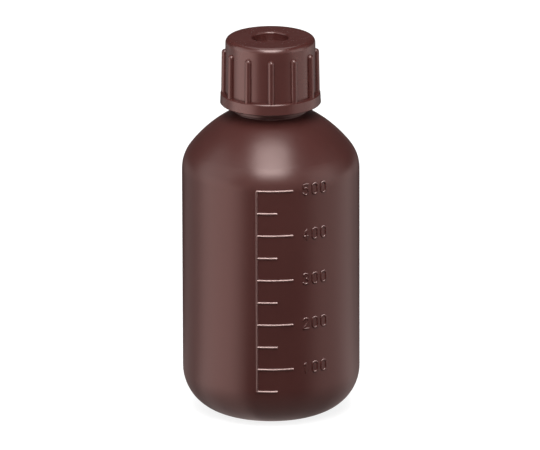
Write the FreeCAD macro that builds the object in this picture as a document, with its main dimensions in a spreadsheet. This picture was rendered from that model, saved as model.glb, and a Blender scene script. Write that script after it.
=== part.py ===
import FreeCAD
import Part
import Sketcher

import math
import os
import re

# Narrow-mouth bottle with a ribbed screw cap and a sealing liner, in millimetres.
# +Z is up, the origin is the middle of the ring that the bottle stands on, and the scale faces -Y.

SIZES = {
    # Bottle body, from the foot up
    "body_radius": (40.0, "outer radius of the round body"),
    "body_wall": (1.3, "wall of the blown body and shoulder"),
    "heel_radius": (19.8, "rounding from the foot to the wall"),
    "foot_ring_width": (6.5, "flat width of the ring that it stands on"),
    "push_up": (2.2, "height of the hollow under the base at its middle"),
    "base_wall": (1.6, "wall of the base"),
    "shoulder_start": (112.7, "height where the straight wall ends"),
    "corner_radius": (16.4, "rounding from the wall into the shoulder"),
    "dome_radius": (57.5, "gentle curve of the shoulder up to the neck"),
    "shoulder_rise": (26.7, "height of the shoulder, wall top to neck root"),
    # Neck
    "neck_radius": (16.2, "outer radius of the neck"),
    "neck_wall": (2.2, "wall of the neck"),
    "neck_root_height": (0.6, "bare neck under the bead"),
    "bead_height": (3.5, "height of the bead under the cap"),
    "bead_reach": (1.1, "how far the bead stands out of the neck"),
    "finish_height": (25.2, "bead top to the rim"),
    "edge_break": (0.5, "chamfer of the rim, the bead and the cap's mouth"),
    "bore_round": (4.0, "rounding inside, from the shoulder into the neck"),
    "root_round": (0.4, "rounding where the neck leaves the shoulder"),
    # Scale on the body
    "scale_low_drop": (0.55, "lowest line, below the top of the heel rounding"),
    "scale_top_rise": (0.5, "highest line, above the end of the straight wall"),
    "scale_line_radius": (0.5, "half-round section of a scale line"),
    "scale_bar_angle": (-9.2, "azimuth of the upright bar, in degrees right of the front"),
    "scale_long_arc": (23.5, "arc of a numbered line, in degrees"),
    "scale_short_arc": (13.2, "arc of a line between two numbered ones, in degrees"),
    "scale_pairs": (5, "numbered lines, each with a short one below it"),
    # Screw cap
    "thread_room": (1.75, "room for the thread between the neck and the cap's bore"),
    "cap_wall": (2.25, "wall of the cap's skirt at its top"),
    "cap_crown": (3.6, "thickness of the cap's top"),
    "cap_draft": (0.3, "how much wider the skirt and its ribs are at the collar"),
    "cap_edge_round": (2.4, "rounding of the cap's top edge"),
    "cap_overlap": (0.3, "how far the cap's foot reaches down round the bead"),
    "recess_radius": (8.2, "radius of the round recess in the cap's top"),
    "recess_round": (0.8, "rounding of the recess's lip"),
    "cup_reach": (1.3, "how far the recess's cup hangs below the ceiling, in the liner's hole"),
    "cup_wall": (1.2, "wall of that cup"),
    "cup_floor": (1.1, "floor of that cup"),
    "collar_height": (5.1, "height of the plain collar at the cap's foot"),
    "collar_reach": (2.25, "how far the collar stands out of the skirt's top"),
    "collar_draft": (0.25, "how much wider the collar is at its foot"),
    "collar_break": (0.4, "chamfer of the collar's edges"),
    "rib_count": (12, "grip ribs round the cap"),
    "rib_radius": (1.5, "half-round section of a rib"),
    "rib_reach": (1.7, "how far a rib stands out of the skirt"),
    "rib_top_drop": (5.4, "rib top, below the top of the cap"),
    "rib_sink": (0.5, "how far a rib runs down into the collar"),
    "rib_azimuth": (0.8, "azimuth of the front rib, in degrees right of the front"),
    # Sealing liner in the cap
    "liner_thickness": (1.4, "thickness of the liner"),
    "liner_gap": (0.35, "clearance between the liner's edges and the cap's wall and cup"),
}

# Heights and radii that follow from the sizes
RIM = "(shoulder_start + shoulder_rise + neck_root_height + bead_height + finish_height)"
NECK_ROOT = "(shoulder_start + shoulder_rise)"
BEAD_FOOT = "(shoulder_start + shoulder_rise + neck_root_height)"
BEAD_TOP = "(shoulder_start + shoulder_rise + neck_root_height + bead_height)"
CAP_FOOT = f"({BEAD_TOP} - cap_overlap)"
CEILING = f"({RIM} + liner_thickness)"
CAP_TOP = f"({CEILING} + cap_crown)"
CAP_BORE = "(neck_radius + thread_room)"
CROWN_RADIUS = f"({CAP_BORE} + cap_wall)"
CUP_RADIUS = "(recess_radius + cup_wall)"
CUP_FOOT = f"({CEILING} - cup_reach)"
NECK_BORE = "(neck_radius - neck_wall)"
SCALE_LOW = "(heel_radius - scale_low_drop)"
SCALE_STEP = f"((shoulder_start + scale_top_rise - {SCALE_LOW}) / (2 * scale_pairs - 1))"

FRONT = -90.0

document = FreeCAD.newDocument("narrow_mouth_bottle")


def write_sheet():
    """The driving dimensions, one to a row, each with its name as the alias."""
    sheet = document.addObject("Spreadsheet::Sheet", "sizes")
    for row, (name, (number, meaning)) in enumerate(SIZES.items(), start=1):
        sheet.set(f"A{row}", meaning)
        sheet.set(f"B{row}", str(number))
        sheet.setAlias(f"B{row}", name)
    document.recompute()
    return sheet


def on_sheet(formula):
    """A formula in plain size names, with each name pointed at the sheet."""
    return re.sub(r"[a-z_]+", lambda word: f"sizes.{word[0]}" if word[0] in SIZES else word[0], formula)


def number(formula):
    """What a formula comes to now."""
    return float(sizes.evalExpression(on_sheet(formula)))


def point(x, y):
    return FreeCAD.Vector(number(x), number(y), 0)


def origin_feature(body, role):
    return next(item for item in body.Origin.OriginFeatures if item.Role == role)


def add_sketch(body, name, plane="XZ_Plane", azimuth=None, height=None):
    """A sketch on one of the body's own planes, turned about the upright axis or raised where asked."""
    sketch = body.newObject("Sketcher::SketchObject", name)
    sketch.AttachmentSupport = [(origin_feature(body, plane), "")]
    sketch.MapMode = "FlatFace"
    if azimuth:
        turn = FreeCAD.Rotation(FreeCAD.Vector(0, 1, 0), FRONT + number(azimuth))
        sketch.AttachmentOffset = FreeCAD.Placement(FreeCAD.Vector(), turn)
        sketch.setExpression("AttachmentOffset.Rotation.Angle", f"{FRONT} + {on_sheet(azimuth)}")
    if height:
        sketch.AttachmentOffset = FreeCAD.Placement(FreeCAD.Vector(0, 0, number(height)), FreeCAD.Rotation())
        sketch.setExpression("AttachmentOffset.Base.z", on_sheet(height))
    return sketch


def bind(sketch, kind, places, name, formula):
    """One dimension of a sketch, tied to the sheet."""
    constraint = Sketcher.Constraint(kind, *places, number(formula))
    sketch.renameConstraint(sketch.addConstraint(constraint), name)
    sketch.setExpression(f"Constraints.{name}", on_sheet(formula))


def hold(sketch, edge, end, name, x=None, y=None):
    """Place one end of an edge by its radius x and its height y. A 0 lies on the axis itself."""
    for letter, formula, axis in (("X", x, -2), ("Y", y, -1)):
        if formula == "0":
            sketch.addConstraint(Sketcher.Constraint("PointOnObject", edge, end, axis))
        elif formula:
            bind(sketch, f"Distance{letter}", (-1, 1, edge, end), f"{name}_{letter.lower()}", formula)


def add_arc(sketch, centre, start, end):
    """An arc that runs counter-clockwise from start to end."""
    circle = Part.Circle(centre, FreeCAD.Vector(0, 0, 1), centre.distanceToPoint(start))
    angles = [math.atan2(at.y - centre.y, at.x - centre.x) for at in (start, end)]
    return sketch.addGeometry(Part.ArcOfCircle(circle, *angles), False)


def draw_corners(sketch, corners, close=True):
    """Straight edges through named corners. Neighbours that share a formula are level or upright."""
    points = [point(x, y) for _, x, y in corners]
    pairs = list(zip(range(len(corners)), list(range(1, len(corners))) + [0]))
    if not close:
        pairs.pop()
    first = len(sketch.Geometry)
    for start, end in pairs:
        sketch.addGeometry(Part.LineSegment(points[start], points[end]), False)
    name, x, y = corners[0]
    hold(sketch, first, 1, name, x, y)
    for start, end in pairs:
        edge = first + start
        last = end == 0
        name, x, y = corners[end]
        upright = corners[start][1] == x
        level = corners[start][2] == y
        if not (last and upright) and upright:
            sketch.addConstraint(Sketcher.Constraint("Vertical", edge))
        if not (last and level) and level:
            sketch.addConstraint(Sketcher.Constraint("Horizontal", edge))
        if last:
            sketch.addConstraint(Sketcher.Constraint("Coincident", edge, 2, first, 1))
        else:
            hold(sketch, edge, 2, name, None if upright else x, None if level else y)
            if start + 1 < len(pairs):
                sketch.addConstraint(Sketcher.Constraint("Coincident", edge, 2, edge + 1, 1))
    return first


def revolve(body, sketch, name, axis="V_Axis", angle=None, kind="PartDesign::Revolution"):
    """Turn a sketch about its own upright axis, all the way round or through an angle of the sheet."""
    feature = body.newObject(kind, name)
    feature.Profile = sketch
    feature.ReferenceAxis = (sketch, [axis])
    feature.Angle = 360.0
    if angle:
        feature.setExpression("Angle", on_sheet(angle))
    document.recompute()
    return feature


def ring_edges(feature, radius, height):
    """Names of the whole circles about the upright axis at this radius and height."""
    names = []
    for index, edge in enumerate(feature.Shape.Edges, start=1):
        if edge.Degenerated or not edge.isClosed() or not isinstance(edge.Curve, Part.Circle):
            continue
        centre = edge.Curve.Center
        on_axis = math.hypot(centre.x, centre.y) < 1e-4
        if on_axis and abs(edge.Curve.Radius - radius) < 1e-4 and abs(centre.z - height) < 1e-4:
            names.append(f"Edge{index}")
    return names


def finish_rings(body, kind, name, rings, size):
    """A Fillet or a Chamfer on circular edges, each given by the formulas of its radius and height."""
    base = body.Tip
    edges = [edge for ring in rings for edge in ring_edges(base, number(ring[0]), number(ring[1]))]
    if len(edges) != len(rings):
        raise RuntimeError(f"{name}: found {len(edges)} of {len(rings)} edges")
    feature = body.newObject(f"PartDesign::{kind}", name)
    feature.Base = (base, edges)
    feature.setExpression("Radius" if kind == "Fillet" else "Size", on_sheet(size))
    document.recompute()
    return feature


def dome_centre():
    """Centre of the shoulder's dome: it runs on from the corner's rounding and ends at the neck root."""
    corner = point("body_radius - corner_radius", "shoulder_start")
    neck = point("neck_radius", NECK_ROOT)
    to_corner = number("dome_radius - corner_radius")
    to_neck = number("dome_radius")
    across = neck - corner
    span = across.Length
    along = (to_corner**2 - to_neck**2 + span**2) / (2 * span)
    aside = math.sqrt(to_corner**2 - along**2)
    across.normalize()
    sideways = FreeCAD.Vector(across.y, -across.x, 0) * aside
    options = [corner + across * along + sign * sideways for sign in (1, -1)]
    return min(options, key=lambda centre: centre.y)


def bore_foot_height():
    """Height where the neck's bore meets the inside of the dome."""
    middle = dome_centre()
    inside = number("dome_radius - body_wall")
    return middle.y + math.sqrt(inside**2 - (number(NECK_BORE) - middle.x) ** 2)


def draw_bottle_wall(body):
    """The whole wall in section: outside from the base up to the rim, then back down inside."""
    sketch = add_sketch(body, "bottle_section")
    foot_inside = "body_radius - heel_radius - foot_ring_width"
    wall_inside = "body_radius - body_wall"
    heel_inside_top = "base_wall + heel_radius - body_wall"

    # Curves: base hollow, heel, corner and dome, outside and inside
    axis_low = point("0", "push_up")
    foot_in = point(foot_inside, "0")
    hollow_drop = (foot_in.x**2 - axis_low.y**2) / (2 * axis_low.y)
    hollow_centre = FreeCAD.Vector(0, -hollow_drop, 0)
    foot_out = point("body_radius - heel_radius", "0")
    heel_centre = point("body_radius - heel_radius", "heel_radius")
    wall_low = point("body_radius", "heel_radius")
    wall_high = point("body_radius", "shoulder_start")
    corner_centre = point("body_radius - corner_radius", "shoulder_start")
    middle = dome_centre()
    outwards = (corner_centre - middle).normalize()
    dome_low = corner_centre + outwards * number("corner_radius")
    neck_root = point("neck_radius", NECK_ROOT)
    dome_low_in = corner_centre + outwards * number("corner_radius - body_wall")
    wall_high_in = point(wall_inside, "shoulder_start")
    bore_foot = FreeCAD.Vector(number(NECK_BORE), bore_foot_height(), 0)
    heel_centre_in = point("body_radius - heel_radius", heel_inside_top)
    wall_low_in = point(wall_inside, heel_inside_top)
    floor_out = point("body_radius - heel_radius", "base_wall")
    axis_low_in = point("0", "push_up + base_wall")
    reach = axis_low_in.y - hollow_centre.y
    floor_in = FreeCAD.Vector(math.sqrt(reach**2 - (floor_out.y - hollow_centre.y) ** 2), floor_out.y, 0)

    hollow = add_arc(sketch, hollow_centre, foot_in, axis_low)
    heel = add_arc(sketch, heel_centre, foot_out, wall_low)
    corner = add_arc(sketch, corner_centre, wall_high, dome_low)
    dome = add_arc(sketch, middle, dome_low, neck_root)
    dome_inside = add_arc(sketch, middle, dome_low_in, bore_foot)
    corner_inside = add_arc(sketch, corner_centre, wall_high_in, dome_low_in)
    heel_inside = add_arc(sketch, heel_centre_in, floor_out, wall_low_in)
    hollow_inside = add_arc(sketch, hollow_centre, floor_in, axis_low_in)

    # Straight edges between them
    foot = sketch.addGeometry(Part.LineSegment(foot_in, foot_out), False)
    wall = sketch.addGeometry(Part.LineSegment(wall_low, wall_high), False)
    wall_in = sketch.addGeometry(Part.LineSegment(wall_high_in, wall_low_in), False)
    floor = sketch.addGeometry(Part.LineSegment(floor_out, floor_in), False)
    axis = sketch.addGeometry(Part.LineSegment(axis_low_in, axis_low), False)
    neck = draw_corners(
        sketch,
        [
            ("neck_root", "neck_radius", NECK_ROOT),
            ("bead_under", "neck_radius", BEAD_FOOT),
            ("bead_low", "neck_radius + bead_reach", BEAD_FOOT),
            ("bead_high", "neck_radius + bead_reach", BEAD_TOP),
            ("bead_over", "neck_radius", BEAD_TOP),
            ("rim_out", "neck_radius", RIM),
            ("rim_in", NECK_BORE, RIM),
        ],
        close=False,
    )
    bore_line = sketch.addGeometry(Part.LineSegment(point(NECK_BORE, RIM), bore_foot), False)

    def join(first, first_end, second, second_end):
        sketch.addConstraint(Sketcher.Constraint("Coincident", first, first_end, second, second_end))

    def run_on(first, first_end, second, second_end):
        sketch.addConstraint(Sketcher.Constraint("Tangent", first, first_end, second, second_end))

    # Outside
    hold(sketch, hollow, 2, "axis_low", "0", "push_up")
    hold(sketch, hollow, 3, "hollow_centre", "0")
    hold(sketch, hollow, 1, "foot_in", foot_inside, "0")
    join(hollow, 1, foot, 1)
    sketch.addConstraint(Sketcher.Constraint("Horizontal", foot))
    run_on(foot, 2, heel, 1)
    run_on(heel, 2, wall, 1)
    bind(sketch, "Radius", (heel,), "heel_radius", "heel_radius")
    hold(sketch, wall, 1, "wall", "body_radius")
    sketch.addConstraint(Sketcher.Constraint("Vertical", wall))
    hold(sketch, wall, 2, "shoulder_start", None, "shoulder_start")
    run_on(wall, 2, corner, 1)
    bind(sketch, "Radius", (corner,), "corner_radius", "corner_radius")
    run_on(corner, 2, dome, 1)
    bind(sketch, "Radius", (dome,), "dome_radius", "dome_radius")
    join(dome, 2, neck, 1)

    # Inside, concentric with the outside wherever the wall is even
    join(neck + 5, 2, bore_line, 1)
    sketch.addConstraint(Sketcher.Constraint("Vertical", bore_line))
    join(bore_line, 2, dome_inside, 2)
    join(dome_inside, 3, dome, 3)
    run_on(corner_inside, 2, dome_inside, 1)
    join(corner_inside, 3, corner, 3)
    join(corner_inside, 1, wall_in, 1)
    hold(sketch, wall_in, 1, "wall_inside", wall_inside, "shoulder_start")
    sketch.addConstraint(Sketcher.Constraint("Vertical", wall_in))
    run_on(wall_in, 2, heel_inside, 2)
    bind(sketch, "Radius", (heel_inside,), "heel_inside", "heel_radius - body_wall")
    run_on(heel_inside, 1, floor, 1)
    hold(sketch, floor, 1, "floor", None, "base_wall")
    sketch.addConstraint(Sketcher.Constraint("Horizontal", floor))
    join(floor, 2, hollow_inside, 1)
    join(hollow_inside, 3, hollow, 3)
    join(hollow_inside, 2, axis, 1)
    hold(sketch, axis, 1, "axis_inside", "0", "push_up + base_wall")
    join(axis, 2, hollow, 2)
    return sketch


def add_scale(body):
    """Half-round scale lines on the front of the body, and the upright bar that they start from."""
    for name, low, arc in (
        ("short_lines", SCALE_LOW, "scale_short_arc"),
        ("long_lines", f"{SCALE_LOW} + {SCALE_STEP}", "scale_long_arc"),
    ):
        sketch = add_sketch(body, f"{name}_section", azimuth="scale_bar_angle")
        middle = point("body_radius", low)
        sketch.addGeometry(Part.Circle(middle, FreeCAD.Vector(0, 0, 1), number("scale_line_radius")), False)
        bind(sketch, "Radius", (0,), "line_radius", "scale_line_radius")
        hold(sketch, 0, 3, "line_at", "body_radius", low)
        line = revolve(body, sketch, name, angle=arc)
        rows = body.newObject("PartDesign::LinearPattern", f"{name}_up_the_body")
        rows.Originals = [line]
        rows.Direction = (sketch, ["V_Axis"])
        rows.setExpression("Length", f"2 * ({on_sheet('scale_pairs')} - 1) * {on_sheet(SCALE_STEP)}")
        rows.setExpression("Occurrences", on_sheet("scale_pairs"))
        body.Tip = rows
        document.recompute()

    sketch = add_sketch(body, "scale_bar_section", plane="XY_Plane", height=SCALE_LOW)
    angle = math.radians(FRONT + number("scale_bar_angle"))
    middle = FreeCAD.Vector(math.cos(angle), math.sin(angle), 0) * number("body_radius")
    sketch.addGeometry(Part.Circle(middle, FreeCAD.Vector(0, 0, 1), number("scale_line_radius")), False)
    bind(sketch, "Radius", (0,), "line_radius", "scale_line_radius")
    turned = f"({FRONT} * 1 deg + scale_bar_angle * 1 deg)"
    hold(sketch, 0, 3, "bar_at", f"body_radius * cos{turned}", f"body_radius * sin{turned}")
    bar = body.newObject("PartDesign::Pad", "scale_bar")
    bar.Profile = sketch
    bar.setExpression("Length", f"(2 * {on_sheet('scale_pairs')} - 1) * {on_sheet(SCALE_STEP)}")
    document.recompute()


def make_bottle():
    body = document.addObject("PartDesign::Body", "bottle")
    revolve(body, draw_bottle_wall(body), "blown_wall")
    bead = "neck_radius + bead_reach"
    sharp_rings = [("neck_radius", RIM), (NECK_BORE, RIM), (bead, BEAD_FOOT), (bead, BEAD_TOP)]
    finish_rings(body, "Chamfer", "rim_and_bead_edges", sharp_rings, "edge_break")
    finish_rings(body, "Fillet", "neck_root", [("neck_radius", NECK_ROOT)], "root_round")
    finish_rings(body, "Fillet", "bore_foot", [(NECK_BORE, str(bore_foot_height()))], "bore_round")
    add_scale(body)
    return body


def make_cap():
    body = document.addObject("PartDesign::Body", "screw_cap")
    collar_top = f"({CAP_FOOT} + collar_height)"
    collar = f"({CROWN_RADIUS} + collar_reach)"
    sketch = add_sketch(body, "cap_section")
    draw_corners(
        sketch,
        [
            ("recess_middle", "0", f"{CUP_FOOT} + cup_floor"),
            ("recess_foot", "recess_radius", f"{CUP_FOOT} + cup_floor"),
            ("recess_lip", "recess_radius", CAP_TOP),
            ("crown_edge", CROWN_RADIUS, CAP_TOP),
            ("skirt_foot", f"{CROWN_RADIUS} + cap_draft", collar_top),
            ("collar_high", collar, collar_top),
            ("collar_low", f"{collar} + collar_draft", CAP_FOOT),
            ("mouth", CAP_BORE, CAP_FOOT),
            ("ceiling_edge", CAP_BORE, CEILING),
            ("cup_root", CUP_RADIUS, CEILING),
            ("cup_edge", CUP_RADIUS, CUP_FOOT),
            ("cup_middle", "0", CUP_FOOT),
        ],
    )
    revolve(body, sketch, "cap_shell")
    finish_rings(body, "Fillet", "top_edge", [(CROWN_RADIUS, CAP_TOP)], "cap_edge_round")
    finish_rings(body, "Fillet", "recess_lip_edge", [("recess_radius", CAP_TOP)], "recess_round")
    collar_rings = [(collar, collar_top), (f"{collar} + collar_draft", CAP_FOOT)]
    finish_rings(body, "Chamfer", "collar_edges", collar_rings, "collar_break")
    finish_rings(body, "Chamfer", "mouth_edge", [(CAP_BORE, CAP_FOOT)], "edge_break")
    add_ribs(body, collar_top)
    return body


def add_ribs(body, collar_top):
    """Half-round grip ribs with domed tops, leaning with the skirt's draft, from the collar up."""
    sketch = add_sketch(body, "rib_section", azimuth="rib_azimuth")
    middle = f"({CROWN_RADIUS} + rib_reach - rib_radius)"
    dome = f"({CAP_TOP} - rib_top_drop - rib_radius)"
    low = point(f"{middle} + cap_draft", f"{collar_top} - rib_sink")
    high = point(middle, dome)
    up = (high - low).normalize()
    out = FreeCAD.Vector(up.y, -up.x, 0) * number("rib_radius")
    tip = high + up * number("rib_radius")
    axis = sketch.addGeometry(Part.LineSegment(low, tip), False)
    foot = sketch.addGeometry(Part.LineSegment(low + out, low), False)
    side = sketch.addGeometry(Part.LineSegment(high + out, low + out), False)
    cap = add_arc(sketch, high, high + out, tip)
    for first, first_end, second, second_end in ((foot, 2, axis, 1), (side, 2, foot, 1), (axis, 2, cap, 2)):
        sketch.addConstraint(Sketcher.Constraint("Coincident", first, first_end, second, second_end))
    sketch.addConstraint(Sketcher.Constraint("Perpendicular", foot, axis))
    sketch.addConstraint(Sketcher.Constraint("Parallel", side, axis))
    sketch.addConstraint(Sketcher.Constraint("Tangent", side, 1, cap, 1))
    bind(sketch, "Radius", (cap,), "rib_radius", "rib_radius")
    hold(sketch, axis, 1, "rib_foot", f"{middle} + cap_draft", f"{collar_top} - rib_sink")
    hold(sketch, cap, 3, "rib_dome", middle, dome)
    sketch.addConstraint(Sketcher.Constraint("PointOnObject", cap, 3, axis))
    rib = revolve(body, sketch, "rib", axis=f"Edge{axis + 1}")
    ribs = body.newObject("PartDesign::PolarPattern", "ribs_round_the_cap")
    ribs.Originals = [rib]
    ribs.Axis = (origin_feature(body, "Z_Axis"), [""])
    ribs.Angle = 360.0
    ribs.setExpression("Occurrences", on_sheet("rib_count"))
    body.Tip = ribs
    document.recompute()


def make_liner():
    """The flat ring that the rim presses against the inside of the cap's top, round the recess's cup."""
    body = document.addObject("PartDesign::Body", "sealing_liner")
    sketch = add_sketch(body, "liner_round", plane="XY_Plane", height=RIM)
    edges = (("outer_radius", f"{CAP_BORE} - liner_gap"), ("hole_radius", f"{CUP_RADIUS} + liner_gap"))
    for index, (name, radius) in enumerate(edges):
        sketch.addGeometry(Part.Circle(FreeCAD.Vector(), FreeCAD.Vector(0, 0, 1), number(radius)), False)
        bind(sketch, "Radius", (index,), name, radius)
        sketch.addConstraint(Sketcher.Constraint("Coincident", index, 3, -1, 1))
    ring = body.newObject("PartDesign::Pad", "flat_ring")
    ring.Profile = sketch
    ring.setExpression("Length", on_sheet("liner_thickness"))
    document.recompute()
    return body


def check_document(bodies):
    """Stop if a feature failed or a piece isn't one sound solid."""
    for item in document.Objects:
        if "Invalid" in item.State or "Error" in item.State:
            raise RuntimeError(f"{item.Name} failed: {item.State}")
        if item.isDerivedFrom("Sketcher::SketchObject") and item.solve() != 0:
            raise RuntimeError(f"{item.Name} has no solution")
    for body in bodies:
        if body.Shape.isNull() or not body.Shape.isValid() or len(body.Shape.Solids) != 1:
            raise RuntimeError(f"{body.Label} isn't one sound solid")


def report_sizes(bodies):
    for body in bodies:
        box = body.Shape.optimalBoundingBox()
        sketches = [item for item in body.Group if item.isDerivedFrom("Sketcher::SketchObject")]
        print(f"{body.Label}: volume {body.Shape.Volume:.1f} mm3")
        print(f"  x {box.XMin:.2f} to {box.XMax:.2f}, y {box.YMin:.2f} to {box.YMax:.2f}")
        print(f"  z {box.ZMin:.2f} to {box.ZMax:.2f}")
        print(f"  not fully constrained: {[item.Name for item in sketches if not item.FullyConstrained]}")


sizes = write_sheet()
pieces = [make_bottle(), make_cap(), make_liner()]
document.recompute()
check_document(pieces)
report_sizes(pieces)
os.makedirs("parts", exist_ok=True)
for piece in pieces:
    piece.Shape.exportStep(f"parts/{piece.Label}.step")
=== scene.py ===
import math
from collections import namedtuple

import bmesh
import bpy
from mathutils import Matrix, Vector


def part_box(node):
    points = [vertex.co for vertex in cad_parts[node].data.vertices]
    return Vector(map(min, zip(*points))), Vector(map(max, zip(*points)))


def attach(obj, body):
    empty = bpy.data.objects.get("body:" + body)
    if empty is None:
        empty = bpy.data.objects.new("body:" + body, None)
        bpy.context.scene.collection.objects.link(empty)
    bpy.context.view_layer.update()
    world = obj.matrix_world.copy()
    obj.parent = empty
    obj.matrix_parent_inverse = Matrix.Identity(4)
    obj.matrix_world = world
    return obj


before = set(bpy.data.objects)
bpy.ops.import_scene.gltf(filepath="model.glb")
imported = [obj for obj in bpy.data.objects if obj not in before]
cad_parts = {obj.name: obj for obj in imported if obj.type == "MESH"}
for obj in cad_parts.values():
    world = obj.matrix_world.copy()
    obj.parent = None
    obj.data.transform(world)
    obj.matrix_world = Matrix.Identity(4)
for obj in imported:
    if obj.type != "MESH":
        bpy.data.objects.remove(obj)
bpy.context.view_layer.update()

MM = 0.001

# Sizes from the frame: the bottle's own box gives its radius and the height of its rim
BOTTLE_HIGH = Vector(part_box("bottle")[1])
BODY_RADIUS = BOTTLE_HIGH.x
RIM_HEIGHT = BOTTLE_HIGH.z

# The scale: heights of its lines, and where its numerals stand to the right of them, in degrees
LOWEST_LINE = 19.25 * MM
LINE_STEP = 10.439 * MM
NUMERAL_AZIMUTHS = (22.8, 29.4, 35.9)
NUMERAL_HALF_WIDTH = 1.3 * MM
NUMERAL_HALF_HEIGHT = 2.45 * MM

# The numerals' strokes. Arcs have so many steps, and straight stretches a point about every half height
STROKE_RADIUS = 0.46 * MM
STROKE_SINK = 0.02 * MM
STROKE_SIDES = 10
ARC_STEPS = 14
STRAIGHT_STEP = 0.48

# A stroke's rounded end: how far each ring lies past the path's end and how wide it is, in stroke radii
STROKE_END = [(0, 1), (0.6, 0.8), (0.92, 0.4)]

# The thread, on the neck and in the cap, where the cap's thread bears on the neck's from below. It rises and
# sinks over some degrees at its ends, and the crest's edges are broken by a share of its height
NECK_RADIUS = 16.2 * MM
CAP_BORE = 17.95 * MM
THREAD_PITCH = 4.2 * MM
THREAD_TURNS = 2
THREAD_HEIGHT = 1.35 * MM
THREAD_BASE = 2.2 * MM
THREAD_CREST = 1.0 * MM
THREAD_CREST_BREAK = 0.2
THREAD_SINK = 0.15 * MM
THREAD_BELOW_RIM = 3.2 * MM
THREAD_RUN_OUT = 30
THREAD_SHARP_ANGLE = 40
FLANK_GAP = 0.25 * MM
STEPS_PER_TURN = 90

# Noise in the plastics, in features a metre: flow shades in the colour, and the gloss
FLOW_SCALE = 45
FLOW_DETAIL = 4.0
GLOSS_SCALE = 60
PLAIN_DETAIL = 3.0
NOISE_MIDDLE = (0.3, 0.7)
BUMP_STRENGTH = 0.35

# The plastics' gloss, and the light that only reflections see, are a little warm
GLOSS_TINT = (1.0, 0.80, 0.765)
WARM_WHITE = (1.0, 0.82, 0.79)

# Camera, at the photograph's viewing angle
CAMERA_DISTANCE = 4.5
CAMERA_ELEVATION = 17.0
CAMERA_ROLL = -0.17
CAMERA_AIM = Vector((-0.4, 0, 85.5)) * MM
PIXELS_PER_METRE = 2217
IMAGE_WIDTH = 540
SENSOR_WIDTH = 36.0

# The soft lights face this point
LIGHTS_AIM = Vector((0, 0, 90 * MM))

# The floor is a pale grey that takes the shadow, and the camera sees a white glow added to it
FLOOR_REACH = 6.0
FLOOR_COLOUR = (0.25, 0.25, 0.25)
FLOOR_WHITE = 0.85

# The world's even light on the object
WORLD_LEVEL = 0.05

# Lobes of light on the floor that only reflections show, spread out from a point near the heel's front:
# azimuth right of the camera's side, the angles from it where the lobe starts and where it is full, all in
# degrees, and the brightness
LOBES_MIDDLE = (0, -20 * MM, 0)
FLOOR_LOBES = [(-68, 40, 12, 2.5), (88, 48, 16, 1.0), (-118, 36, 8, 0.5), (124, 36, 8, 0.36)]

# Close to the heel the lobes are weaker, and the floor glows: distances from the origin between which the
# lobes gain and the glow fades, the lobes' least share, and the glow's brightness
HEEL_REACH = (24 * MM, 95 * MM)
HEEL_LOBE_SHARE = 0.12
HEEL_GLOW = 0.62

# Far off the floor glows again. Both glows are strongest in front: degrees from there where they are weakest
# and full, and their least share
FAR_REACH = (380 * MM, 620 * MM)
FAR_GLOW = 0.4
GLOW_TURN = (80, 25)
GLOW_LEAST = 0.4

# The studio above the horizon glows in reflections, in front and at the sides: from the direction's height
# and from how far it points to the back, both from full to none
STUDIO_GLOW = 0.75
STUDIO_HEIGHTS = (0.3, 0.85)
STUDIO_BACK = (0.1, 0.6)


def nodes_of(owner):
    """The emptied node tree of a material or of the world."""
    owner.use_nodes = True
    owner.node_tree.nodes.clear()
    return owner.node_tree


def feed(tree, sockets, terms):
    """Fill sockets in turn, each from another node's socket or with a constant."""
    for socket, term in zip(sockets, terms):
        if isinstance(term, bpy.types.NodeSocket):
            tree.links.new(term, socket)
        else:
            socket.default_value = term


def maths(tree, operation, *terms):
    """A sum or a product of numbers."""
    node = tree.nodes.new("ShaderNodeMath")
    node.operation = operation
    feed(tree, node.inputs, terms)
    return node.outputs["Value"]


def vector_maths(tree, operation, *terms):
    """A number for a length or a dot product, and a vector otherwise."""
    node = tree.nodes.new("ShaderNodeVectorMath")
    node.operation = operation
    feed(tree, node.inputs, terms)
    return node.outputs["Value" if operation in ("LENGTH", "DOT_PRODUCT") else "Vector"]


def mix(tree, kind, *terms):
    """Two numbers (FLOAT) or two colours (RGBA), mixed by the factor that comes before them."""
    node = tree.nodes.new("ShaderNodeMix")
    node.data_type = kind
    feed(tree, [node.inputs[name] for name in ("Factor", "A", "B")], terms)
    return node.outputs["Result"]


def join_shaders(tree, kind, *terms):
    """Two shaders added, or mixed by the factor that comes before them. kind is Add or Mix."""
    node = tree.nodes.new(f"ShaderNode{kind}Shader")
    feed(tree, node.inputs, terms)
    return node.outputs["Shader"]


def glowing(tree, kind, colour, strength):
    """An even glow, as an Emission or a Background shader."""
    node = tree.nodes.new(f"ShaderNode{kind}")
    feed(tree, [node.inputs["Color"], node.inputs["Strength"]], [(*colour, 1), strength])
    return node.outputs[kind]


def between(tree, value, source, target, step="SMOOTHSTEP"):
    """A step from target's first value to its second, while the value passes through source."""
    node = tree.nodes.new("ShaderNodeMapRange")
    node.interpolation_type = step
    names = ("Value", "From Min", "From Max", "To Min", "To Max")
    feed(tree, [node.inputs[name] for name in names], [value, *source, *target])
    return node.outputs["Result"]


def axes_of(tree, vector):
    """The outputs X, Y and Z of a vector."""
    node = tree.nodes.new("ShaderNodeSeparateXYZ")
    tree.links.new(vector, node.inputs["Vector"])
    return node.outputs


def noise(tree, place, scale, detail=PLAIN_DETAIL, stretch=(1, 1, 1)):
    """Noise in the object's own metres, drawn out along the axes where stretch is below 1."""
    mapping = tree.nodes.new("ShaderNodeMapping")
    mapping.inputs["Scale"].default_value = stretch
    tree.links.new(place, mapping.inputs["Vector"])
    texture = tree.nodes.new("ShaderNodeTexNoise")
    texture.inputs["Scale"].default_value = scale
    texture.inputs["Detail"].default_value = detail
    tree.links.new(mapping.outputs["Vector"], texture.inputs["Vector"])
    return texture.outputs["Fac"]


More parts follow.
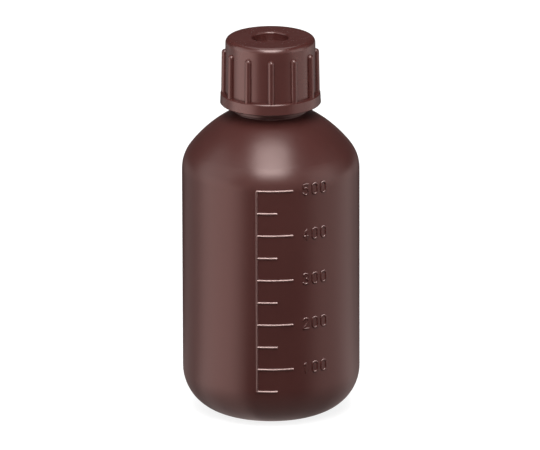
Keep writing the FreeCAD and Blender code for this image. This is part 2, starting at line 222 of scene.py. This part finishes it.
# Marks that stand out of the bottle's wall are glossier, and carry a painted highlight where they face up:
# the two heights above the wall between which this sets in, the roughness, the painted highlight's colour,
# and how far they face up where that colour starts and where it is full, with its share at each
Relief = namedtuple("Relief", "heights roughness colour facing_up share")


def moulded_plastic(name, dark, light, roughness, specular, grain, flow_stretch, relief=None):
    """Moulded plastic: faint flow shades in the colour, uneven gloss and a fine skin.

    grain gives the skin's scale and depth."""
    material = bpy.data.materials.new(name)
    tree = nodes_of(material)
    coordinates = tree.nodes.new("ShaderNodeTexCoord")
    place = coordinates.outputs["Object"]

    flow = noise(tree, place, FLOW_SCALE, FLOW_DETAIL, flow_stretch)
    shade = between(tree, flow, NOISE_MIDDLE, (0, 1), "LINEAR")
    colour = mix(tree, "RGBA", shade, (*dark, 1), (*light, 1))
    uneven = noise(tree, place, GLOSS_SCALE, stretch=flow_stretch)
    gloss = between(tree, uneven, NOISE_MIDDLE, roughness, "LINEAR")
    if relief:
        reach = vector_maths(tree, "LENGTH", vector_maths(tree, "MULTIPLY", place, (1, 1, 0)))
        raised_mark = between(tree, reach, [BODY_RADIUS + height for height in relief.heights], (0, 1))
        gloss = mix(tree, "FLOAT", raised_mark, gloss, relief.roughness)
        # Painted highlight: where a raised mark faces up, its colour is mixed toward the paler relief colour
        upward = axes_of(tree, coordinates.outputs["Normal"])["Z"]
        painted_highlight = maths(tree, "MULTIPLY", raised_mark, between(tree, upward, relief.facing_up, relief.share))
        colour = mix(tree, "RGBA", painted_highlight, colour, (*relief.colour, 1))

    grain_scale, grain_depth = grain
    bump = tree.nodes.new("ShaderNodeBump")
    bump.inputs["Strength"].default_value = BUMP_STRENGTH
    bump.inputs["Distance"].default_value = grain_depth
    tree.links.new(noise(tree, place, grain_scale), bump.inputs["Height"])

    shader = tree.nodes.new("ShaderNodeBsdfPrincipled")
    shader.inputs["Specular IOR Level"].default_value = specular
    shader.inputs["Specular Tint"].default_value = (*GLOSS_TINT, 1)
    tree.links.new(colour, shader.inputs["Base Color"])
    tree.links.new(gloss, shader.inputs["Roughness"])
    tree.links.new(bump.outputs["Normal"], shader.inputs["Normal"])
    output = tree.nodes.new("ShaderNodeOutputMaterial")
    tree.links.new(shader.outputs["BSDF"], output.inputs["Surface"])
    return material


def paint(node, material):
    """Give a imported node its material."""
    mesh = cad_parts[node].data
    mesh.materials.clear()
    mesh.materials.append(material)


def add_object(name, data):
    """Put a mesh, a lamp or a camera into the scene."""
    made = bpy.data.objects.new(name, data)
    bpy.context.scene.collection.objects.link(made)
    return made


def add_piece(name, mesh, material):
    """Put a mesh that is being built into the scene, closed, smooth and with its material."""
    bmesh.ops.recalc_face_normals(mesh, faces=mesh.faces)
    data = bpy.data.meshes.new(name)
    mesh.to_mesh(data)
    mesh.free()
    data.shade_smooth()
    data.materials.append(material)
    return add_object(name, data)


def skin(mesh, rings):
    """Faces from each ring of points to the next, and one across each end."""
    sides = len(rings[0])
    for ring, following in zip(rings, rings[1:]):
        for step in range(sides):
            after = (step + 1) % sides
            mesh.faces.new((ring[step], ring[after], following[after], following[step]))
    mesh.faces.new(list(reversed(rings[0])))
    mesh.faces.new(rings[-1])


def arc(middle, reach, start, end):
    """Points on a stretch of an ellipse, by angle in degrees from +x."""
    angles = [math.radians(start + (end - start) * step / ARC_STEPS) for step in range(ARC_STEPS + 1)]
    return [(middle[0] + reach[0] * math.cos(a), middle[1] + reach[1] * math.sin(a)) for a in angles]


# Each numeral's strokes, in half widths and half heights about its middle
NUMERALS = {
    "0": arc((0, 0.42), (1, 0.58), 0, 180) + arc((0, -0.42), (1, 0.58), 180, 360) + [(1, 0.42)],
    "1": [(-0.6, 0.55), (0, 1), (0, -1)],
    "2": arc((0, 0.45), (0.95, 0.55), 165, -35) + [(-0.95, -1), (0.95, -1)],
    "3": arc((0, 0.5), (0.88, 0.5), 155, -85) + arc((0, -0.48), (0.98, 0.52), 85, -155),
    "4": [(0.4, -1), (0.4, 1), (-0.98, -0.35), (1, -0.35)],
    "5": [(0.85, 1), (-0.72, 1), (-0.85, 0.12)] + arc((0, -0.33), (0.95, 0.67), 128, -150),
}


def divided(points):
    """The points, with more of them on straight stretches, so that those bend with the wall."""
    path = [points[0]]
    for x, y in points[1:]:
        start_x, start_y = path[-1]
        steps = max(1, round(math.hypot(x - start_x, y - start_y) / STRAIGHT_STEP))
        for step in range(1, steps + 1):
            share = step / steps
            path.append((start_x + (x - start_x) * share, start_y + (y - start_y) * share))
    return path


def on_wall(azimuth, across, height):
    """A point just inside the body's wall, and the way out. Azimuth is in degrees right of the front."""
    angle = math.radians(azimuth) + across / BODY_RADIUS
    out = Vector((math.sin(angle), -math.cos(angle), 0))
    return out * (BODY_RADIUS - STROKE_SINK) + Vector((0, 0, height)), out


def add_stroke(mesh, path):
    """A round bead along the wall, with rounded ends. path holds pairs of a point and the way out."""
    rings = []
    last = len(path) - 1
    for index, (place, out) in enumerate(path):
        ahead = path[min(index + 1, last)][0] - path[max(index - 1, 0)][0]
        ahead.normalize()
        side = ahead.cross(out).normalized()
        stations = [(0, 1)]
        if index == 0:
            stations = [(-shift, width) for shift, width in reversed(STROKE_END)]
        elif index == last:
            stations = STROKE_END
        for shift, width in stations:
            middle = place + ahead * shift * STROKE_RADIUS
            ring = []
            for step in range(STROKE_SIDES):
                angle = 2 * math.pi * step / STROKE_SIDES
                spoke = side * math.cos(angle) + out * math.sin(angle)
                ring.append(mesh.verts.new(middle + spoke * STROKE_RADIUS * width))
            rings.append(ring)
    skin(mesh, rings)


def make_numerals(material):
    """100 to 500, raised on the wall beside every second line of the scale."""
    mesh = bmesh.new()
    for hundreds in range(1, 6):
        height = LOWEST_LINE + (2 * hundreds - 1) * LINE_STEP
        for azimuth, numeral in zip(NUMERAL_AZIMUTHS, f"{hundreds}00"):
            path = []
            for x, y in divided(NUMERALS[numeral]):
                path.append(on_wall(azimuth, x * NUMERAL_HALF_WIDTH, height + y * NUMERAL_HALF_HEIGHT))
            add_stroke(mesh, path)
    numerals = add_piece("scale_numerals", mesh, material)
    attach(numerals, "bottle_body")


def wound_ridge(name, low, wall, crest, material):
    """A ridge wound up a wall, right-handed, that rises out of it and sinks back into it at its ends."""
    root = wall - math.copysign(THREAD_SINK, crest - wall)
    crest_break = THREAD_CREST_BREAK * (THREAD_BASE - THREAD_CREST) / 2
    section = [
        (0, THREAD_BASE / 2),
        (1 - THREAD_CREST_BREAK, THREAD_CREST / 2 + crest_break),
        (1, THREAD_CREST / 2 - crest_break),
    ]
    section += [(reach, -rise) for reach, rise in reversed(section)]
    mesh = bmesh.new()
    rings = []
    for step in range(THREAD_TURNS * STEPS_PER_TURN + 1):
        turned = 360 * step / STEPS_PER_TURN
        stand = min(1, turned / THREAD_RUN_OUT, (360 * THREAD_TURNS - turned) / THREAD_RUN_OUT)
        angle = math.radians(turned)
        height = low + THREAD_PITCH * step / STEPS_PER_TURN
        ring = []
        for reach, rise in section:
            radius = root + (crest - root) * reach * stand
            ring.append(mesh.verts.new((radius * math.cos(angle), radius * math.sin(angle), height - rise)))
        rings.append(ring)
    skin(mesh, rings)
    ridge = add_piece(name, mesh, material)
    ridge.data.set_sharp_from_angle(angle=math.radians(THREAD_SHARP_ANGLE))
    return ridge


def make_threads(bottle_material, cap_material):
    """The neck's thread rides the bottle, and the cap's thread turns and lifts with the cap."""
    low = RIM_HEIGHT - THREAD_BELOW_RIM - THREAD_TURNS * THREAD_PITCH
    neck = wound_ridge("neck_thread", low, NECK_RADIUS, NECK_RADIUS + THREAD_HEIGHT, bottle_material)
    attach(neck, "bottle_body")

    mean_width = (THREAD_BASE + THREAD_CREST) / 2
    crest_gap = CAP_BORE - NECK_RADIUS - THREAD_HEIGHT
    overlap_rise = crest_gap * (THREAD_BASE - THREAD_CREST) / (2 * THREAD_HEIGHT)
    cap_low = low - mean_width + overlap_rise - FLANK_GAP
    cap = wound_ridge("cap_thread", cap_low, CAP_BORE, CAP_BORE - THREAD_HEIGHT, cap_material)
    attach(cap, "cap_body")


def direction(azimuth, elevation):
    """The way out from the object. Azimuth is right of the camera's side, both in degrees."""
    turn = math.radians(azimuth)
    lift = math.radians(elevation)
    return Vector((math.sin(turn) * math.cos(lift), -math.cos(turn) * math.cos(lift), math.sin(lift)))


def soft_light(name, azimuth, elevation, distance, size, power):
    """A rectangular softbox that faces the object."""
    data = bpy.data.lights.new(name, "AREA")
    data.shape = "RECTANGLE"
    data.size, data.size_y = size
    data.energy = power
    light = add_object(name, data)
    light.visible_camera = False
    way = direction(azimuth, elevation)
    light.location = LIGHTS_AIM + way * distance
    light.rotation_euler = way.to_track_quat("Z", "Y").to_euler()
    return light


def floor_brightness(tree):
    """The floor's brightness in reflections, by where a place lies from the object."""
    place = tree.nodes.new("ShaderNodeNewGeometry").outputs["Position"]
    way = vector_maths(tree, "NORMALIZE", vector_maths(tree, "SUBTRACT", place, LOBES_MIDDLE))
    distance = vector_maths(tree, "LENGTH", place)

    def lobe_towards(azimuth, start, full, levels):
        edges = [math.cos(math.radians(angle)) for angle in (start, full)]
        return between(tree, vector_maths(tree, "DOT_PRODUCT", way, direction(azimuth, 0)), edges, levels)

    lobes = 0
    for azimuth, start, full, brightness in FLOOR_LOBES:
        lobes = maths(tree, "ADD", lobes, lobe_towards(azimuth, start, full, (0, brightness)))
    lobe_share = between(tree, distance, HEEL_REACH, (HEEL_LOBE_SHARE, 1))
    heel_glow = between(tree, distance, HEEL_REACH, (HEEL_GLOW, 0))
    far_glow = between(tree, distance, FAR_REACH, (0, FAR_GLOW))
    in_front = lobe_towards(0, *GLOW_TURN, (GLOW_LEAST, 1))
    glows = maths(tree, "MULTIPLY", maths(tree, "ADD", heel_glow, far_glow), in_front)
    return maths(tree, "MULTIPLY_ADD", lobes, lobe_share, glows)


def make_floor():
    """A plain pale floor. The camera sees it as white, less the object's own shadow."""
    data = bpy.data.meshes.new("floor")
    corners = [(x * FLOOR_REACH, y * FLOOR_REACH, 0) for x, y in ((-1, -1), (1, -1), (1, 1), (-1, 1))]
    data.from_pydata(corners, [], [(0, 1, 2, 3)])
    floor = add_object("floor", data)

    material = bpy.data.materials.new("pale_floor")
    data.materials.append(material)
    tree = nodes_of(material)
    path = tree.nodes.new("ShaderNodeLightPath").outputs
    diffuse = tree.nodes.new("ShaderNodeBsdfDiffuse")
    diffuse.inputs["Color"].default_value = (*FLOOR_COLOUR, 1)
    grey = diffuse.outputs["BSDF"]
    lit_white = join_shaders(tree, "Add", grey, glowing(tree, "Emission", (1, 1, 1), FLOOR_WHITE))
    lobes = glowing(tree, "Emission", WARM_WHITE, floor_brightness(tree))
    in_gloss = join_shaders(tree, "Mix", path["Is Glossy Ray"], grey, lobes)
    seen = join_shaders(tree, "Mix", path["Is Camera Ray"], in_gloss, lit_white)
    tree.links.new(seen, tree.nodes.new("ShaderNodeOutputMaterial").inputs["Surface"])


def make_world():
    """White for the camera, a weak even light for the object, and a glow that only its reflections see."""
    world = bpy.data.worlds.new("studio")
    bpy.context.scene.world = world
    tree = nodes_of(world)
    path = tree.nodes.new("ShaderNodeLightPath").outputs
    level = between(tree, path["Is Camera Ray"], (0, 1), (WORLD_LEVEL, 1))
    surround = glowing(tree, "Background", (1, 1, 1), level)

    way = axes_of(tree, tree.nodes.new("ShaderNodeTexCoord").outputs["Generated"])
    strength = maths(tree, "MULTIPLY", path["Is Glossy Ray"], STUDIO_GLOW)
    for axis, edges in (("Z", STUDIO_HEIGHTS), ("Y", STUDIO_BACK)):
        strength = maths(tree, "MULTIPLY", strength, between(tree, way[axis], edges, (1, 0)))
    glow = glowing(tree, "Background", WARM_WHITE, strength)
    together = join_shaders(tree, "Add", surround, glow)
    tree.links.new(together, tree.nodes.new("ShaderNodeOutputWorld").inputs["Surface"])


def make_camera():
    """The camera looks from the photograph's direction, a little rolled, and frames as it does."""
    data = bpy.data.cameras.new("camera")
    data.sensor_width = SENSOR_WIDTH
    data.sensor_fit = "HORIZONTAL"
    data.lens = SENSOR_WIDTH * PIXELS_PER_METRE * CAMERA_DISTANCE / IMAGE_WIDTH
    camera = add_object("camera", data)
    away = direction(0, CAMERA_ELEVATION)
    turn = away.to_track_quat("Z", "Y").to_matrix().to_4x4()
    roll = Matrix.Rotation(math.radians(CAMERA_ROLL), 4, "Z")
    camera.matrix_world = Matrix.Translation(CAMERA_AIM + away * CAMERA_DISTANCE) @ turn @ roll
    bpy.context.scene.camera = camera


bpy.context.scene.view_settings.view_transform = "Standard"

bottle_plastic = moulded_plastic(
    "brown_bottle_plastic",
    dark=(0.0455, 0.0136, 0.0118),
    light=(0.052, 0.0158, 0.0137),
    roughness=(0.31, 0.35),
    specular=0.5,
    grain=(3500, 0.012 * MM),
    flow_stretch=(1, 1, 0.35),
    # The scale's raised lines get a painted highlight: pale where they face up, a little pale even where
    # they don't
    relief=Relief(
        heights=(0.03 * MM, 0.1 * MM),
        roughness=0.2,
        colour=(0.34, 0.235, 0.22),
        facing_up=(0.0, 0.4),
        share=(0.16, 1),
    ),
)
numeral_plastic = moulded_plastic(
    "brown_numeral_plastic",
    dark=(0.040, 0.0105, 0.0090),
    light=(0.046, 0.0125, 0.0105),
    roughness=(0.20, 0.24),
    specular=0.5,
    grain=(3500, 0.006 * MM),
    flow_stretch=(1, 1, 0.35),
    # The numerals get a painted highlight: pale on the strokes' upward-facing parts
    relief=Relief(
        heights=(0.1 * MM, 0.3 * MM),
        roughness=0.2,
        colour=(0.40, 0.29, 0.275),
        facing_up=(0.35, 0.8),
        share=(0, 1),
    ),
)
cap_plastic = moulded_plastic(
    "brown_cap_plastic",
    dark=(0.046, 0.0115, 0.0096),
    light=(0.051, 0.0132, 0.0112),
    roughness=(0.26, 0.30),
    specular=0.7,
    grain=(1400, 0.001 * MM),
    flow_stretch=(1, 1, 1),
)
liner_foam = moulded_plastic(
    "liner_foam",
    dark=(0.74, 0.73, 0.69),
    light=(0.82, 0.81, 0.77),
    roughness=(0.55, 0.7),
    specular=0.4,
    grain=(2600, 0.05 * MM),
    flow_stretch=(1, 1, 1),
)
paint("bottle", bottle_plastic)
paint("screw_cap", cap_plastic)
paint("sealing_liner", liner_foam)
make_numerals(numeral_plastic)
make_threads(bottle_plastic, cap_plastic)

make_floor()
make_world()
make_camera()
soft_light("top_softbox", azimuth=1, elevation=62, distance=1.1, size=(0.69, 0.9), power=15.8)
soft_light("front_softbox", azimuth=1.5, elevation=41, distance=1.1, size=(0.66, 0.62), power=5.6)
soft_light("left_softbox", azimuth=-78, elevation=24, distance=1.3, size=(1.3, 1.3), power=7)
soft_light("right_softbox", azimuth=72, elevation=12, distance=1.2, size=(0.8, 1.2), power=3.3)
soft_light("back_softbox", azimuth=180, elevation=66, distance=1.2, size=(0.75, 0.7), power=2.5)
back_fill = soft_light("back_fill", azimuth=180, elevation=22, distance=1.3, size=(0.9, 0.6), power=10)
back_fill.visible_glossy = False
